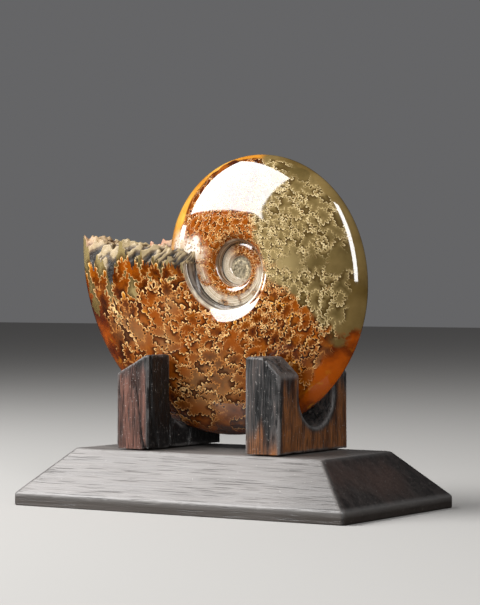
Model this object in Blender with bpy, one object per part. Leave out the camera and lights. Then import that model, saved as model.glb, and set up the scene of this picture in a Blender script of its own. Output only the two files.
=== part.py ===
"""A polished whole ammonite standing in two notched wooden cradles on a bevelled plinth.

Frame: metres, +Z up, X along the plinth's length. The show side faces -Y.
The origin is the middle of the plinth's underside.

The shell is a logarithmic spiral. Its venter, the outer edge, lies in the plane Y = SHELL_Y, and the
venter's radius grows by WHORL_GROWTH with each turn. A place along the spiral is a growth angle, which is 0
at the last septum and negative before it. A place across the flank is a share: its radius over the venter's
radius at the same growth.
"""

import math

import bmesh
import bpy
import numpy as np

GAP = 0.0003  # air left between pieces that rest on each other

# Plinth: a board with a low upright rim and four faces that slope up to a smaller top
PLINTH_LENGTH = 0.1348
PLINTH_DEPTH = 0.0756
PLINTH_HEIGHT = 0.0200
PLINTH_RIM = 0.0043
TOP_LENGTH = 0.1020
TOP_DEPTH = 0.0466
PLINTH_EDGE = 0.0010

# Cradles: upright blocks with a U notch through them, one at each side of the middle
CRADLE_INNER_X = 0.0196
CRADLE_THICKNESS = 0.0140
CRADLE_DEPTH = 0.0452
CRADLE_TOP = 0.0534
CRADLE_EDGE = 0.0009
NOTCH_Y = 0.0019
NOTCH_RADIUS = 0.0114
LEFT_NOTCH_BOTTOM = 0.0276
RIGHT_NOTCH_BOTTOM = 0.0289
NOTCH_ARC_STEPS = 16
# How much of each cradle's outer top edge is planed away, sideways and downwards
LEFT_SHOULDER = (0.0122, 0.0068)
RIGHT_SHOULDER = (0.0067, 0.0065)

# Ammonite
SHELL_X = 0.0054
SHELL_Y = NOTCH_Y
SHELL_Z = 0.0833
WHORL_GROWTH = 2.19
LAST_RADIUS = 0.0713  # the venter's radius at the last septum
LAST_ANGLE = math.radians(175.0)  # where the last septum stands, turned from +X towards +Z
TURNS = 2.5  # what lies further in is filled with stone
FILLING = 0.0040  # height of the stone filling over the shell's plane
COLUMNS_PER_TURN = 60
LAST_HALF_THICKNESS = 0.0140  # of the umbilical shoulder at the last septum
THICKNESS_GROWTH = 1.55
LAST_SEAM_SHARE = 0.230  # the umbilical seam, at the last septum
SEAM_WIDENING = 1.08  # how much the seam's share grows with each turn
WALL_TOP = 0.03  # how far outside the seam the umbilical wall ends, as a share
SHOULDER = 0.12  # and the shoulder above it
WALL_RISE = 0.83  # the wall top's half thickness over the shoulder's
SHOULDER_ROUNDNESS = 1.35
FLANK_FALL = 1.8
FLANK_ROUNDNESS = 0.64
INNER_BANDS = 4  # from one seam to the next
OUTER_BANDS = 17  # from there to the venter
SEPTUM_ROWS = 3
SEPTUM_BULGE = 0.0035  # how far the septum's middle stands forward
# The septum's folded edge: how far each saddle and lobe stands forward, by share
FRONT_EDGE = (
    (0.23, 0.0000), (0.26, 0.0004), (0.30, -0.0012), (0.34, 0.0006), (0.38, -0.0014), (0.43, 0.0012),
    (0.47, -0.0016), (0.52, 0.0020), (0.57, -0.0020), (0.65, 0.0052), (0.74, -0.0088), (0.82, 0.0002),
    (0.88, -0.0046), (0.955, 0.0048), (1.00, 0.0040),
)
BACK_EDGE = (
    (0.23, 0.0000), (0.32, 0.0010), (0.42, 0.0040), (0.50, 0.0062), (0.56, 0.0064), (0.63, 0.0050),
    (0.685, 0.0048), (0.715, -0.0016), (0.77, -0.0026), (0.80, -0.0012), (0.84, 0.0034), (0.885, 0.0044),
    (0.915, 0.0022), (0.955, 0.0048), (1.00, 0.0040),
)
FOLD_RUN = math.radians(32.0)  # how far back along the spiral the folds bend the mesh's columns


def plain_material(name, colour, roughness):
    material = bpy.data.materials.new(name)
    material.use_nodes = True
    shader = material.node_tree.nodes["Principled BSDF"]
    shader.inputs["Base Color"].default_value = (*colour, 1.0)
    shader.inputs["Roughness"].default_value = roughness
    shader.inputs["Metallic"].default_value = 0.0
    return material


def add_object(name, bm, material):
    """Turns a closed bmesh into a named object whose faces point out."""
    bmesh.ops.recalc_face_normals(bm, faces=bm.faces)
    mesh = bpy.data.meshes.new(name)
    bm.to_mesh(mesh)
    bm.free()
    mesh.materials.append(material)
    obj = bpy.data.objects.new(name, mesh)
    bpy.context.scene.collection.objects.link(obj)
    return obj


def round_edges(obj, width, segments):
    bevel = obj.modifiers.new("rounded_edges", "BEVEL")
    bevel.width = width
    bevel.segments = segments
    bevel.limit_method = "ANGLE"
    bevel.angle_limit = math.radians(25.0)


def shade_smooth(obj, sharp_angle):
    obj.data.shade_smooth()
    obj.data.set_sharp_from_angle(angle=sharp_angle)


def build_plinth(material):
    """Three rectangles, one above another: the underside, the rim's top and the smaller top face."""
    bm = bmesh.new()
    levels = (
        (0.0, PLINTH_LENGTH, PLINTH_DEPTH),
        (PLINTH_RIM, PLINTH_LENGTH, PLINTH_DEPTH),
        (PLINTH_HEIGHT, TOP_LENGTH, TOP_DEPTH),
    )
    rings = []
    for z, length, depth in levels:
        corners = ((-1, -1), (1, -1), (1, 1), (-1, 1))
        rings.append([bm.verts.new((x * length / 2, y * depth / 2, z)) for x, y in corners])
    bm.faces.new(rings[0])
    bm.faces.new(rings[-1])
    for lower, upper in zip(rings, rings[1:]):
        for i in range(4):
            k = (i + 1) % 4
            bm.faces.new((lower[i], lower[k], upper[k], upper[i]))
    plinth = add_object("plinth", bm, material)
    round_edges(plinth, PLINTH_EDGE, 3)
    shade_smooth(plinth, math.radians(35.0))


def cradle_outline(notch_bottom):
    """The block seen along X, as (y, z): a rectangle with a round-bottomed notch cut down from its top."""
    half = CRADLE_DEPTH / 2
    foot = PLINTH_HEIGHT + GAP
    centre = notch_bottom + NOTCH_RADIUS
    points = [(-half, foot), (half, foot), (half, CRADLE_TOP), (NOTCH_Y + NOTCH_RADIUS, CRADLE_TOP)]
    for step in range(NOTCH_ARC_STEPS + 1):
        turn = math.pi * step / NOTCH_ARC_STEPS
        points.append((NOTCH_Y + NOTCH_RADIUS * math.cos(turn), centre - NOTCH_RADIUS * math.sin(turn)))
    points += [(NOTCH_Y - NOTCH_RADIUS, CRADLE_TOP), (-half, CRADLE_TOP)]
    return points


def build_cradle(name, side, shoulder, notch_bottom, material):
    """side is -1 for the left block and 1 for the right one; shoulder is what is planed off its edge."""
    bm = bmesh.new()
    inner = side * CRADLE_INNER_X
    outer = inner + side * CRADLE_THICKNESS
    near = bm.faces.new([bm.verts.new((inner, y, z)) for y, z in cradle_outline(notch_bottom)])
    grown = bmesh.ops.extrude_face_region(bm, geom=[near])["geom"]
    for vertex in grown:
        if isinstance(vertex, bmesh.types.BMVert):
            vertex.co.x = outer
    across, down = shoulder
    bmesh.ops.bisect_plane(
        bm,
        geom=bm.verts[:] + bm.edges[:] + bm.faces[:],
        plane_co=(outer - side * across, 0.0, CRADLE_TOP),
        plane_no=(side * down, 0.0, across),
        clear_outer=True,
    )
    bmesh.ops.holes_fill(bm, edges=[edge for edge in bm.edges if edge.is_boundary], sides=0)
    cradle = add_object(name, bm, material)
    round_edges(cradle, CRADLE_EDGE, 2)
    shade_smooth(cradle, math.radians(35.0))


def venter_radius(growth):
    return LAST_RADIUS * WHORL_GROWTH ** (growth / math.tau)


def seam_share(growth):
    return LAST_SEAM_SHARE * SEAM_WIDENING ** (growth / math.tau)


def half_thickness(share, growth):
    """It rounds over the umbilical shoulder, and beyond it falls to nothing at the venter, at share 1."""
    thickest = LAST_HALF_THICKNESS * THICKNESS_GROWTH ** (growth / math.tau)
    wall_top = seam_share(growth) + WALL_TOP
    shoulder = seam_share(growth) + SHOULDER
    rise = np.clip((share - wall_top) / (shoulder - wall_top), 0.0, 1.0)
    inner = 1.0 - (1.0 - WALL_RISE) * (1.0 - rise) ** SHOULDER_ROUNDNESS
    out = np.clip((share - shoulder) / (1.0 - shoulder), 0.0, 1.0)
    return thickest * inner * (1.0 - out**FLANK_FALL) ** FLANK_ROUNDNESS


def section_shares(growth):
    """Shares of a section's points, from its own seam, past the next turn's seam, to the venter."""
    seam = seam_share(growth)
    next_seam = seam_share(growth + math.tau) * WHORL_GROWTH
    shoulder = seam + SHOULDER
    inner = [seam, seam + WALL_TOP, shoulder, (shoulder + next_seam) / 2, next_seam]
    turn = np.linspace(0.0, math.pi / 2, OUTER_BANDS + 1)[1:]
    return np.array(inner + list(next_seam + (1.0 - next_seam) * np.sin(turn)))


def section(growth):
    """One flank's section: shares, and heights over the shell's plane. Its seam lies on the turn before."""
    shares = section_shares(growth)
    heights = half_thickness(shares, growth)
    heights[0] = half_thickness(shares[0] * WHORL_GROWTH, growth - math.tau)
    heights[-1] = 0.0
    if growth < -math.tau:
        heights = np.maximum(heights, FILLING)
    return shares, heights


def septum_fold(share, side):
    """How far forward of the septum its folded edge stands on one flank, as an angle."""
    shares, rises = zip(*(FRONT_EDGE if side < 0 else BACK_EDGE))
    return np.interp(share, shares, rises) / (LAST_RADIUS * share)


def shell_point(share, height, growth, side):
    """side is -1 for the flank that faces -Y. The shell grows clockwise as seen from -Y.

    Within FOLD_RUN of the last septum, points slide along the spiral until the last ones lie on its edge.
    """
    slide = np.clip(1.0 + growth / FOLD_RUN, 0.0, 1.0) * septum_fold(share, side)
    angle = LAST_ANGLE - growth - slide
    radius = venter_radius(growth + slide) * share
    return (SHELL_X + radius * math.cos(angle), SHELL_Y + side * height, SHELL_Z + radius * math.sin(angle))


def flank_columns(bm, side, venter):
    """One flank's vertices, as a column for each step of growth.

    A column's first vertex is on its seam, so it is shared with the column one turn before. A column ends
    at the next turn's seam, or, in the last turn, at the venter, whose vertices both flanks share.
    """
    columns = {}
    for step in range(-round(TURNS * COLUMNS_PER_TURN), 1):
        growth = math.tau * step / COLUMNS_PER_TURN
        places = [shell_point(share, height, growth, side) for share, height in zip(*section(growth))]
        in_last_turn = step >= -COLUMNS_PER_TURN
        before = columns.get(step - COLUMNS_PER_TURN)
        column = [before[INNER_BANDS] if before else bm.verts.new(places[0])]
        column += [bm.verts.new(place) for place in places[1 : -1 if in_last_turn else INNER_BANDS + 1]]
        if in_last_turn:
            if step not in venter:
                venter[step] = bm.verts.new(places[-1])
            column.append(venter[step])
        columns[step] = column
    return columns


def flank_faces(bm, columns):
    """Quads between neighbouring columns, and a fan that closes the spiral's centre."""
    first = min(columns)
    for step in range(first, 0):
        here, after = columns[step], columns[step + 1]
        for j in range(min(len(here), len(after)) - 1):
            bm.faces.new((here[j], after[j], after[j + 1], here[j + 1]))
    rim = [columns[first + step][0] for step in range(COLUMNS_PER_TURN)]
    loop = rim + columns[first][INNER_BANDS:0:-1]
    middle = bm.verts.new(np.mean([vertex.co for vertex in loop], axis=0))
    for a, b in zip(loop, loop[1:] + loop[:1]):
        bm.faces.new((middle, a, b))


def spacing(row, k, vertex):
    """How far a row's vertex k is from another vertex, or infinity past the row's end."""
    return (row[k].co - vertex.co).length if k < len(row) else math.inf


def join_rows(bm, first_row, second_row):
    """Triangles between two rows that share their end vertices, with the shorter diagonal each time."""
    i = j = 0
    while i + 1 < len(first_row) or j + 1 < len(second_row):
        if spacing(first_row, i + 1, second_row[j]) <= spacing(second_row, j + 1, first_row[i]):
            corners = (first_row[i], first_row[i + 1], second_row[j])
            i += 1
        else:
            corners = (first_row[i], second_row[j + 1], second_row[j])
            j += 1
        if len(set(corners)) == 3:
            bm.faces.new(corners)


def shift_forward(vertex, amount):
    """Moves a vertex in the direction of growth at the last septum."""
    vertex.co.x += amount * math.sin(LAST_ANGLE)
    vertex.co.z -= amount * math.cos(LAST_ANGLE)


def build_septum(bm, front, back):
    """The last septum, from the last section's outer edge down to the turn that it stands on."""
    outer = front[0][:-1] + back[0][::-1]
    under = -COLUMNS_PER_TURN
    inner = front[under][INNER_BANDS:-1] + back[under][:INNER_BANDS - 1:-1]
    inner_places = np.array([vertex.co for vertex in inner])
    last = len(outer) - 1
    row = outer
    for band in range(1, SEPTUM_ROWS):
        depth = band / SEPTUM_ROWS
        made = [outer[0]]
        for k in range(1, last):
            along = k / last * (len(inner) - 1)
            target = np.array([np.interp(along, range(len(inner)), axis) for axis in inner_places.T])
            vertex = bm.verts.new(np.array(outer[k].co) * (1.0 - depth) + target * depth)
            shift_forward(vertex, SEPTUM_BULGE * math.sin(math.pi * depth))
            made.append(vertex)
        made.append(outer[-1])
        join_rows(bm, row, made)
        row = made
    join_rows(bm, row, inner)


def build_ammonite(material):
    bm = bmesh.new()
    venter = {}
    front = flank_columns(bm, -1, venter)
    back = flank_columns(bm, 1, venter)
    flank_faces(bm, front)
    flank_faces(bm, back)
    build_septum(bm, front, back)
    ammonite = add_object("ammonite", bm, material)
    shade_smooth(ammonite, math.radians(40.0))


def main():
    for obj in list(bpy.data.objects):
        bpy.data.objects.remove(obj)
    black_stain = plain_material("black_stained_wood", (0.045, 0.042, 0.042), 0.5)
    brown_stain = plain_material("brown_stained_wood", (0.09, 0.048, 0.032), 0.6)
    calcite = plain_material("polished_calcite", (0.45, 0.20, 0.06), 0.12)
    build_plinth(black_stain)
    build_cradle("cradle_left", -1, LEFT_SHOULDER, LEFT_NOTCH_BOTTOM, brown_stain)
    build_cradle("cradle_right", 1, RIGHT_SHOULDER, RIGHT_NOTCH_BOTTOM, brown_stain)
    build_ammonite(calcite)


main()
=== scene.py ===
import math

import bpy
import numpy as np
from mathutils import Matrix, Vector


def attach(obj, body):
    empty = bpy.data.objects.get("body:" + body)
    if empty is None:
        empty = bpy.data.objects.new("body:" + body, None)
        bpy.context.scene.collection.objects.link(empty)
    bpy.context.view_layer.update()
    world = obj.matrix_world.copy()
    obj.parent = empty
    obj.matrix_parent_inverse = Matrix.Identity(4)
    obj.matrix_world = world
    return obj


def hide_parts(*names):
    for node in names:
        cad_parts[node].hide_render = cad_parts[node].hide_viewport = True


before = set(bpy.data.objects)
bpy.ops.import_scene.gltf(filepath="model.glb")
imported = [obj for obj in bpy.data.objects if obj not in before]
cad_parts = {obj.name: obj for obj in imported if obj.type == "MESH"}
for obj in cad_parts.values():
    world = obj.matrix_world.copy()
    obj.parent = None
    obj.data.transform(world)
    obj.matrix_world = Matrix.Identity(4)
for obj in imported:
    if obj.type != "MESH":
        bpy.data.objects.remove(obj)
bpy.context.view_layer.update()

# The shell: a log spiral whose sections shrink towards the middle. Metres and radians.
# A growth angle is 0 at the last septum and negative before it. A share is a radius over the venter's radius.
SHELL_X = 0.0054
SHELL_Y = 0.0019
SHELL_Z = 0.0833
WHORL_GROWTH = 2.19
LAST_RADIUS = 0.07125
LAST_ANGLE = math.radians(175.0)
LAST_HALF_THICKNESS = 0.0140
THICKNESS_GROWTH = 1.55
LAST_SEAM_SHARE = 0.230
SEAM_WIDENING = 1.08
WALL_TOP = 0.03
SHOULDER = 0.095
WALL_RISE = 0.865
SHOULDER_ROUNDNESS = 1.35
FLANK_FALL = 1.8
FLANK_ROUNDNESS = 0.64
VENTER_ROUNDING = 0.002
FILLING = 0.0040
FOLD_RUN = math.radians(32.0)
OLDEST = -6.0 * math.pi

# The suture lines, in growth angle and girth. Girth is the length along a section over the radius there.
SEPTUM_STEP = 0.27
OLDER_STEP = 0.25
OLDER_FROM = -2.3
NEWEST_SUTURE = -0.23
FIELD_STEP = 0.004
FIELD_REACH = 11
LOBE_LINE = (
    (1.00, 0.05), (0.925, -0.12), (0.855, 0.08), (0.775, -0.19), (0.69, 0.13), (0.60, -0.13), (0.53, 0.12),
    (0.46, -0.11), (0.395, 0.09), (0.335, -0.07), (0.285, 0.04), (0.24, -0.02), (0.19, 0.0),
)
LOBE_GAIN = 1.15
LOBE_OVERHANG = 1.4
# Frills grow towards the middle by the share to this power, and gather on bulges by this share.
# Rows: length, then reach, neck, bluntness, lean, step
FRILL_SWELLING = 0.8
FRILL_GATHERING = 0.75
FRILLS = ((0.084, 0.74, 0.06, 0.80, 0.4, 0.004), (0.0275, 0.88, 0.02, 0.90, 0.1, 0.0013))
OLDER_FRILLS = ((0.084, 0.76, 0.06, 0.80, 0.4, 0.004), (0.0265, 0.95, 0.01, 0.90, 0.1, 0.0013))
# The plain rim along the venter: growth angle and its width in girth
RIM_WIDTHS = (
    (-6.3, 0.26), (-5.8, 0.22), (-5.0, 0.08), (-4.5, 0.06), (-3.6, 0.10), (-3.0, 0.13), (-2.7, 0.12),
    (-2.2, 0.19), (-1.75, 0.04), (-1.0, 0.02), (-0.65, 0.11), (-0.35, 0.18), (-0.12, 0.05), (0.0, 0.0),
)
# Milky patches and chalky crust on the front flank: x, z and reach in metres
MILKY_SPOTS = (
    (-0.0010, 0.0440, 0.0110), (0.0400, 0.0500, 0.0050), (-0.0340, 0.0600, 0.0050),
    (0.0260, 0.0840, 0.0070), (-0.0184, 0.0705, 0.0040), (-0.0219, 0.0575, 0.0050),
    (-0.0075, 0.0400, 0.0070), (-0.0420, 0.0640, 0.0050),
)
CHALKY_SPOTS = (
    (-0.0200, 0.0920, 0.0030), (-0.0150, 0.0900, 0.0030),
    (-0.0100, 0.0885, 0.0028), (-0.0109, 0.0932, 0.0014),
)
# The last septum's folded edges: how far each saddle and lobe stands forward in metres, by share
FRONT_EDGE = (
    (0.19, 0.0000), (0.26, 0.0004), (0.30, -0.0012), (0.34, 0.0006), (0.38, -0.0014), (0.43, 0.0012),
    (0.47, -0.0016), (0.52, 0.0020), (0.57, -0.0020), (0.65, 0.0052), (0.74, -0.0088), (0.82, 0.0002),
    (0.88, -0.0046), (0.955, 0.0048), (1.00, 0.0040),
)
BACK_EDGE = (
    (0.19, 0.0000), (0.32, 0.0010), (0.42, 0.0040), (0.50, 0.0062), (0.56, 0.0064), (0.63, 0.0050),
    (0.685, 0.0048), (0.715, -0.0016), (0.77, -0.0026), (0.80, -0.0012), (0.84, 0.0034), (0.885, 0.0044),
    (0.915, 0.0022), (0.955, 0.0048), (1.00, 0.0040),
)
# The values that the calcite's material reads at each vertex
CALCITE_VALUES = (
    "fold", "tip", "behind", "tone", "crown", "arc", "lime_and_highlight", "old", "wall", "filled", "olive", "glow",
    "honey", "milk", "crust", "veil",
)

# The stand, in metres. The gap is the air between its solids.
GAP = 0.0003
PLINTH_LENGTH = 0.1348
PLINTH_DEPTH = 0.0756
PLINTH_HEIGHT = 0.0200
PLINTH_RIM = 0.0043
TOP_LENGTH = 0.1020
TOP_DEPTH = 0.0466
CRADLE_INNER_X = 0.0196
CRADLE_THICKNESS = 0.0140
CRADLE_DEPTH = 0.0452
CRADLE_TOP = 0.0534
NOTCH_Y = 0.0019
NOTCH_RADIUS = 0.0114
LEFT_NOTCH_BOTTOM = 0.0276
RIGHT_NOTCH_BOTTOM = 0.0289
# How much of each cradle's outer top edge is planed away, sideways and downwards
LEFT_SHOULDER = (0.0122, 0.0068)
RIGHT_SHOULDER = (0.0067, 0.0065)
CRADLE_EDGE_RADIUS = 0.0010
# About half the width of the block that is left on each side of a notch
CHEEK_HALF_WIDTH = 0.0055
PLINTH_CORNER_RADIUS = 0.0016

# The heap of stone in the middle: how far it rises, and the radius where it ends
HEAP_HEIGHT = 0.0011
HEAP_RADIUS = 0.0075

# The camera: where it looks, from how far, its azimuth and elevation in degrees, and its lens in millimetres
CAMERA_AIM = (0.00328, 0.0, 0.0713)
CAMERA_DISTANCE = 0.837
CAMERA_AZIMUTH = 32.9
CAMERA_ELEVATION = 0.48
CAMERA_LENS = 142.8
FLOOR_HALF_SIZE = 3.0


# ---------------------------------------------------------------- the shell's shape


def venter_radius(growth):
    return LAST_RADIUS * WHORL_GROWTH ** (growth / math.tau)


def seam_share(growth):
    return LAST_SEAM_SHARE * SEAM_WIDENING ** (growth / math.tau)


def half_thickness(share, growth):
    """It rounds over the umbilical shoulder, then falls to nothing at the venter, where share is 1."""
    thickest = LAST_HALF_THICKNESS * THICKNESS_GROWTH ** (growth / math.tau)
    seam = seam_share(growth)
    rise = np.clip((share - seam - WALL_TOP) / (SHOULDER - WALL_TOP), 0.0, 1.0)
    inner = 1.0 - (1.0 - WALL_RISE) * (1.0 - rise) ** SHOULDER_ROUNDNESS
    out = np.clip((share - seam - SHOULDER) / (1.0 - seam - SHOULDER), 0.0, 1.0)
    return thickest * inner * (1.0 - out**FLANK_FALL) ** FLANK_ROUNDNESS


def wall_height(share, growth):
    """Half thickness with its umbilical wall: a smooth rise from the turn before to the wall's top."""
    seam = seam_share(growth)
    foot = half_thickness(seam * WHORL_GROWTH, growth - math.tau)
    climb = np.clip((share - seam) / WALL_TOP, 0.0, 1.0)
    return foot + (half_thickness(share, growth) - foot) * np.sin(climb * math.pi / 2)


def rounded_share(share):
    """Takes the point off the venter: 1 minus share becomes the hypotenuse of itself and a small rounding."""
    return 1.0 - (np.hypot(1.0 - share, VENTER_ROUNDING) - VENTER_ROUNDING)


def girth_table():
    """Shares and their girths: the steps along one late section over their radii, summed from the venter."""
    shares = 1.0 - np.linspace(0.0, 1.0, 6001) ** 2 * (1.0 - 0.17)
    heights = wall_height(np.maximum(shares, seam_share(0.0)), -1.0) / venter_radius(-1.0)
    steps = np.hypot(np.diff(shares), np.diff(heights)) / ((shares[1:] + shares[:-1]) / 2)
    return shares[::-1], np.concatenate([[0.0], np.cumsum(steps)])[::-1]


TABLE_SHARES, TABLE_GIRTHS = girth_table()


def girth_of(share):
    return np.interp(share, TABLE_SHARES, TABLE_GIRTHS)


def share_of(girth):
    return np.interp(girth, TABLE_GIRTHS[::-1], TABLE_SHARES[::-1])


def swelling(girth):
    """How much larger than on the venter the frills are at a signed girth."""
    return np.maximum(share_of(np.abs(girth)), 0.30) ** -FRILL_SWELLING


def smooth(value, low, high):
    """0 below low, 1 above high and a smooth rise between. With high below low it falls."""
    part = np.clip((value - low) / (high - low), 0.0, 1.0)
    return part * part * (3.0 - 2.0 * part)


def lattice_noise(points, cells, seed):
    """Soft noise from 0 to 1: random values on a lattice with cells per metre by axis, joined smoothly."""
    at = points * np.asarray(cells, float)
    low = np.floor(at.reshape(-1, 3).min(axis=0))
    at = at - low
    size = np.ceil(at.reshape(-1, 3).max(axis=0)).astype(int) + 2
    table = np.random.default_rng(seed).uniform(0.0, 1.0, size)
    cell = np.floor(at).astype(int)
    part = at - cell
    part = part * part * (3.0 - 2.0 * part)
    total = 0.0
    for corner in np.ndindex(2, 2, 2):
        weight = np.prod(np.where(corner, part, 1.0 - part), axis=-1)
        i, j, k = (cell[..., axis] + corner[axis] for axis in range(3))
        total = total + weight * table[i, j, k]
    return total


def ripple(growth, girth, seed, scale):
    """A soft unevenness from -1 to 1: five crossed sine waves of unlike lengths."""
    rng = np.random.default_rng(seed)
    total = 0.0
    for _ in range(5):
        turn, start = rng.uniform(0.0, math.tau, 2)
        waves = scale * rng.uniform(0.6, 1.6)
        total = total + np.sin(waves * (growth * math.cos(turn) + girth * math.sin(turn)) + start)
    return total / 5.0


def around(radius, angle, height):
    """Points round the shell's axis, at a height over its middle plane."""
    x, z = SHELL_X + radius * np.cos(angle), SHELL_Z + radius * np.sin(angle)
    return np.stack(np.broadcast_arrays(x, SHELL_Y + height, z), axis=-1)


def place(share, height, growth, slide=0.0):
    """Points of the shell. It grows clockwise as seen from -Y; slide carries a point on along the spiral."""
    return around(venter_radius(growth + slide) * share, LAST_ANGLE - growth - slide, height)


def crests(girth, spacing, sharpness, seed):
    """Crests and hollows by turns along a girth, from 1 to -1, with uneven widths and heights.

    Between a crest and a hollow the height runs on half a cosine, and its size is raised to the sharpness.
    """
    rng = np.random.default_rng(seed)
    count = int(4.2 / spacing)
    knots = -2.1 + np.cumsum(rng.uniform(0.6, 1.4, count)) * spacing
    heights = rng.uniform(0.45, 1.0, count) * (1.0 - 2.0 * (np.arange(count) % 2))
    at = np.clip(np.searchsorted(knots, girth) - 1, 0, count - 2)
    phase = np.clip((girth - knots[at]) / (knots[at + 1] - knots[at]), 0.0, 1.0)
    height = heights[at] + (heights[at + 1] - heights[at]) * (0.5 - 0.5 * np.cos(math.pi * phase))
    return np.sign(height) * np.abs(height) ** sharpness


def bell(value, middle, width):
    return np.exp(-(((value - middle) / width) ** 2))


def joined(table, share):
    """The rises of a table of shares and rises, joined on half cosines."""
    shares, rises = np.array(table).T
    at = np.interp(share, shares, np.arange(len(shares)))
    low = np.clip(np.floor(at).astype(int), 0, len(shares) - 2)
    return rises[low] + (rises[low + 1] - rises[low]) * (0.5 - 0.5 * np.cos(math.pi * (at - low)))


def edge_fold(girth):
    """How far forward the last septum's edge stands, in metres, as (broad, middling, fine) by signed girth.

    The broad part is FRONT_EDGE or BACK_EDGE. The others are rows of crests, the deepest near the outer lobe.
    The middling one also has a notch on the venter, and three more tines on the front.
    """
    share = share_of(np.abs(girth))
    broad = np.where(girth > 0.0, joined(BACK_EDGE, share), joined(FRONT_EDGE, share))
    prongs = -0.0030 * bell(girth, 0.0, 0.013)
    tines = bell(share, 0.983, 0.007) + bell(share, 0.957, 0.008) + 0.6 * bell(share, 0.70, 0.010)
    prongs = prongs + 0.0015 * tines * np.where(girth < 0.0, 1.0, 0.0)
    stops = (0.20, 0.26, 0.30, 0.45, 0.60, 0.70, 0.79, 0.88, 1.00)
    reach = np.interp(share, stops, (0.0, 0.0006, 0.0011, 0.0015, 0.0015, 0.0015, 0.0024, 0.0018, 0.0010))
    middling = reach * (crests(girth, 0.040, 0.8, 3) - 0.25) + prongs
    fine = 0.75 * np.minimum(reach, 0.0013) * crests(girth, 0.0155, 0.9, 4)
    return broad, middling, fine


# ---------------------------------------------------------------- suture lines and their fields


def resample(points, step):
    """The same path at even steps, and the length up to each point."""
    lengths = np.concatenate([[0.0], np.cumsum(np.hypot(*np.diff(points, axis=0).T))])
    along = np.linspace(0.0, lengths[-1], max(int(lengths[-1] / step), 2))
    return np.stack([np.interp(along, lengths, axis) for axis in points.T], axis=1), along


def averaged(line, kernel):
    """A moving average by the kernel's weights. The line's ends are carried on past it."""
    return np.convolve(np.pad(line, len(kernel) // 2, mode="edge"), kernel, "valid")


def frill(points, length, reach, neck, bluntness, lean, rng, step):
    """Folds a path: along each uneven stretch it stands out forwards by a rounded hump, narrower at its neck.

    A stretch is about length long on the venter, and swells towards the middle. A point moves along the
    path's forward normal by the hump, (size of sin)**bluntness - 1/2, times reach, and along the path by neck
    times a double sine, so that humps are bulbs and the gaps between them are clefts. Humps are larger where
    the path already bulges forwards, so that they fan out there.
    """
    points, along = resample(points, step)
    tangent = np.gradient(points, axis=0)
    kernel = np.hanning(7)[1:-1]
    kernel /= kernel.sum()
    tangent = np.stack([averaged(axis, kernel) for axis in tangent.T], axis=1)
    tangent /= np.maximum(np.hypot(*tangent.T), 1e-9)[:, None]
    forward = np.stack([tangent[:, 1], -tangent[:, 0]], axis=1)
    swell = swelling(points[:, 1])
    turning = -np.sum(np.gradient(tangent, axis=0) * forward, axis=1) / step
    window = np.hanning(2 * max(int(0.22 * length / step), 1) + 3)[1:-1]
    turning = averaged(turning, window / window.sum())
    bulging = smooth(turning * length * swell, -0.4, 1.3)
    forward = forward + lean * np.array([1.0, 0.0])
    eased = np.cumsum(np.gradient(along) / swell)
    count = max(int(eased[-1] / length), 1)
    bounds = np.concatenate([[0.0], np.cumsum(rng.uniform(0.7, 1.3, count))])
    bounds *= eased[-1] / bounds[-1]
    sizes = rng.uniform(0.65, 1.25, count)
    at = np.clip(np.searchsorted(bounds, eased, side="right") - 1, 0, count - 1)
    width = bounds[at + 1] - bounds[at]
    phase = (eased - bounds[at]) / width
    size = np.interp(eased, (bounds[:-1] + bounds[1:]) / 2, sizes) * np.sqrt(width * length) * swell
    size = size * (1.0 + FRILL_GATHERING * (2.0 * bulging - 1.0))
    hump = np.abs(np.sin(math.pi * phase)) ** bluntness
    out = size * reach * (hump - 0.5)
    aside = -neck * width * swell * np.sin(math.tau * phase) * (hump - 0.45) * 2.0
    return points + forward * out[:, None] + tangent * aside[:, None]


def suture_line(rng, frills):
    """One suture from the front seam over the venter to the back seam, as (growth, signed girth).

    Saddles and lobes alternate on a cosine that overhangs at its steep flanks. Two rows of frills fold it.
    """
    shares, rises = np.array(LOBE_LINE).T
    girths = girth_of(shares)
    girths = np.concatenate([-girths[::-1], girths[1:]])
    rises = np.concatenate([rises[::-1], rises[1:]]) * LOBE_GAIN
    rises = rises + rng.normal(0.0, 0.008, len(rises))
    girths = girths + rng.normal(0.0, 0.006, len(girths))
    phase = np.linspace(0.0, 1.0, 60, endpoint=False)[None, :]
    growth = rises[:-1, None] + np.diff(rises)[:, None] * (1.0 - np.cos(math.pi * phase)) / 2
    girth = girths[:-1, None] + np.diff(girths)[:, None] * (
        phase + LOBE_OVERHANG * np.sin(math.tau * phase) / math.tau
    )
    points = np.stack([growth.ravel(), girth.ravel()], axis=1)
    for length, reach, neck, bluntness, lean, step in frills:
        points = frill(points, length, reach, neck, bluntness, lean, rng, step)
    return resample(points, 0.002)[0]


def blur(field, spread):
    """A Gaussian blur by two passes of a sampled bell, along each axis in turn."""
    reach = int(3 * spread)
    kernel = np.exp(-0.5 * (np.arange(-reach, reach + 1) / spread) ** 2)
    kernel /= kernel.sum()
    for axis in (0, 1):
        field = np.apply_along_axis(averaged, axis, field, kernel)
    return field


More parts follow.
